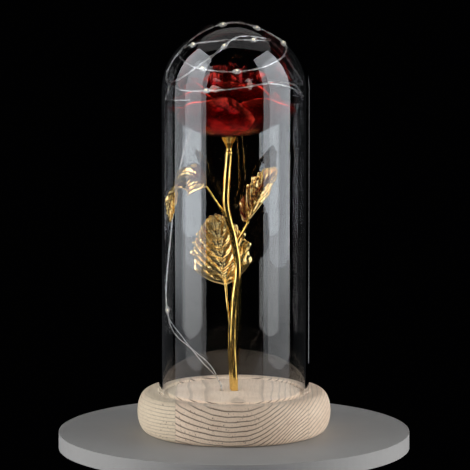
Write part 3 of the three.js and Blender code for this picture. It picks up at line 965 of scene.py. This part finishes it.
def lamp(
    name, place, width, height, radiance, hidden_from=(), tint=WHITE, aim=0.12, spread=180,
    shape="RECTANGLE",
):
    """A soft flat lamp that faces the axis at the height aim. It is as bright as radiance
    straight ahead and dark at half its spread aside. The glass's face doesn't mirror it, and
    it can be hidden from other light paths."""
    half = math.radians(min(spread, 179.9) / 2)
    light = bpy.data.lights.new(name, "AREA")
    light.color, light.spread = tint, math.radians(spread)
    light.shape, light.size, light.size_y = shape, width, height
    light.energy = radiance * math.pi * width * height * (1 - half / math.tan(half))
    made = bpy.data.objects.new(name, light)
    bpy.context.scene.collection.objects.link(made)
    made.location = place
    made.rotation_euler = (Vector((0, 0, aim)) - place).to_track_quat("-Z", "Y").to_euler()
    for kind in ("camera", "glossy", *hidden_from):
        setattr(made, f"visible_{kind}", False)


def panel(name, corners, low, radiance, high=None):
    """A white panel that only the glass's face shows. Its radiance grows from low to
    radiance about the table's height, and from there to high above the dome."""
    material = bpy.data.materials.new(name)
    material.use_nodes = True
    tree = material.node_tree
    tree.nodes.clear()
    place = Shade(tree, None).node("TexCoord", {}, {}, "Object")
    height = place.node("SeparateXYZ", {}, {0: place}, "Z")
    strength = low + (radiance - low) * height.between(*NEAR_TABLE)
    strength = strength + ((high or radiance) - radiance) * height.between(*ABOVE_DOME)
    glow = place.node("Emission", {}, {"Color": COOL_WHITE, "Strength": strength})
    glow.node("OutputMaterial", {}, {"Surface": glow}, out=None)
    material.cycles.emission_sampling = "NONE"
    made = stage_piece(name, (np.array(corners), [np.arange(len(corners))[None]]), material)
    for kind in ("camera", "diffuse", "transmission", "volume_scatter", "shadow"):
        setattr(made, f"visible_{kind}", False)
    return made


def upright(start, end, bottom, top):
    """The corners of an upright panel from one azimuth to another."""
    corners = (start, bottom), (end, bottom), (end, top), (start, top)
    return [about(azimuth, PANEL_DISTANCE, height) for azimuth, height in corners]


for side, azimuth, width in ("left", -61.5, 0.468), ("right", 76, 0.5):
    lamp(
        f"{side}_lamp", about(azimuth, SIDE_DISTANCE, TALL_MIDDLE), width, TALL_HEIGHT, 3.2,
        ["diffuse"], COOL_WHITE, TALL_MIDDLE,
    )
for side, azimuth, width, radiance in ("left", -66, 0.52, 6.6), ("right", 75, 0.54, 7.0):
    lamp(
        f"{side}_fill", about(azimuth, SIDE_DISTANCE, FILL_MIDDLE), width, FILL_HEIGHT, radiance,
        ["transmission"],
    )
lamp("front_lamp", about(8, 1.1, 0.75), 0.5, 0.4, 1.1, ["transmission"])
for name, place, width, height, radiance, tint, aim, spread in (
    ("left_spot", about(-28, 0.277, 0.265), 0.12, 0.12, 5.0, WHITE, 0.105, 22),
    ("right_spot", about(24, 0.277, 0.265), 0.12, 0.12, 5.0, WHITE, 0.105, 22),
    ("low_spot", about(0, 0.5, -0.13), 0.24, 0.24, 2.6, WHITE, 0.105, 28),
    ("left_glint", about(-30, 0.6, 0.305), 0.18, 0.11, 4.0, WARM_WHITE, 0.2, 180),
    ("right_glint", about(25, 0.6, 0.37), 0.1, 0.16, 4.0, WARM_WHITE, 0.2, 180),
    ("top_lamp", Vector((0, 0.1, 0.85)), 1.2, 0.55, 0.5, WHITE, 0.12, 180),
):
    lamp(name, place, width, height, radiance, ["diffuse"], tint, aim, spread, "ELLIPSE")
for side, azimuth, width in ("left", -61.5, 0.468), ("right", 75, 0.54):
    lamp(
        f"{side}_low_lamp", about(azimuth, SIDE_DISTANCE, LOW_MIDDLE), width, LOW_HEIGHT, 1.3,
        ["diffuse"], aim=LOW_MIDDLE,
    )
lamp("back_lamp", about(168, 0.8, 0.45), 0.4, 0.4, 2.0, ["transmission"])
panel("left_panel", upright(-99, -49, PANEL_FOOT, PANEL_TOP), 0.8, 2.9, 6.0)
panel("right_panel", upright(44, 91, PANEL_FOOT, PANEL_TOP), 1.0, 3.2, 5.0)
panel("left_rim_panel", upright(-140, -104, PANEL_FOOT, RIM_PANEL_TOP), 0.1, 0.04)
panel("right_rim_panel", upright(100, 140, PANEL_FOOT, RIM_PANEL_TOP), 0.04, 0.03)
panel("front_low_panel", upright(-45, 42, PANEL_FOOT, -0.045), 0.4, 0.4)
panel("edge_panel", upright(157, 165, -0.07, 0.16), 0.4, 0.2)

world = bpy.data.worlds.new("dark_room")
world.use_nodes = True
world.node_tree.nodes["Background"].inputs["Color"].default_value = DARK_ROOM
bpy.context.scene.world = world
bpy.context.scene.view_settings.view_transform = "Standard"
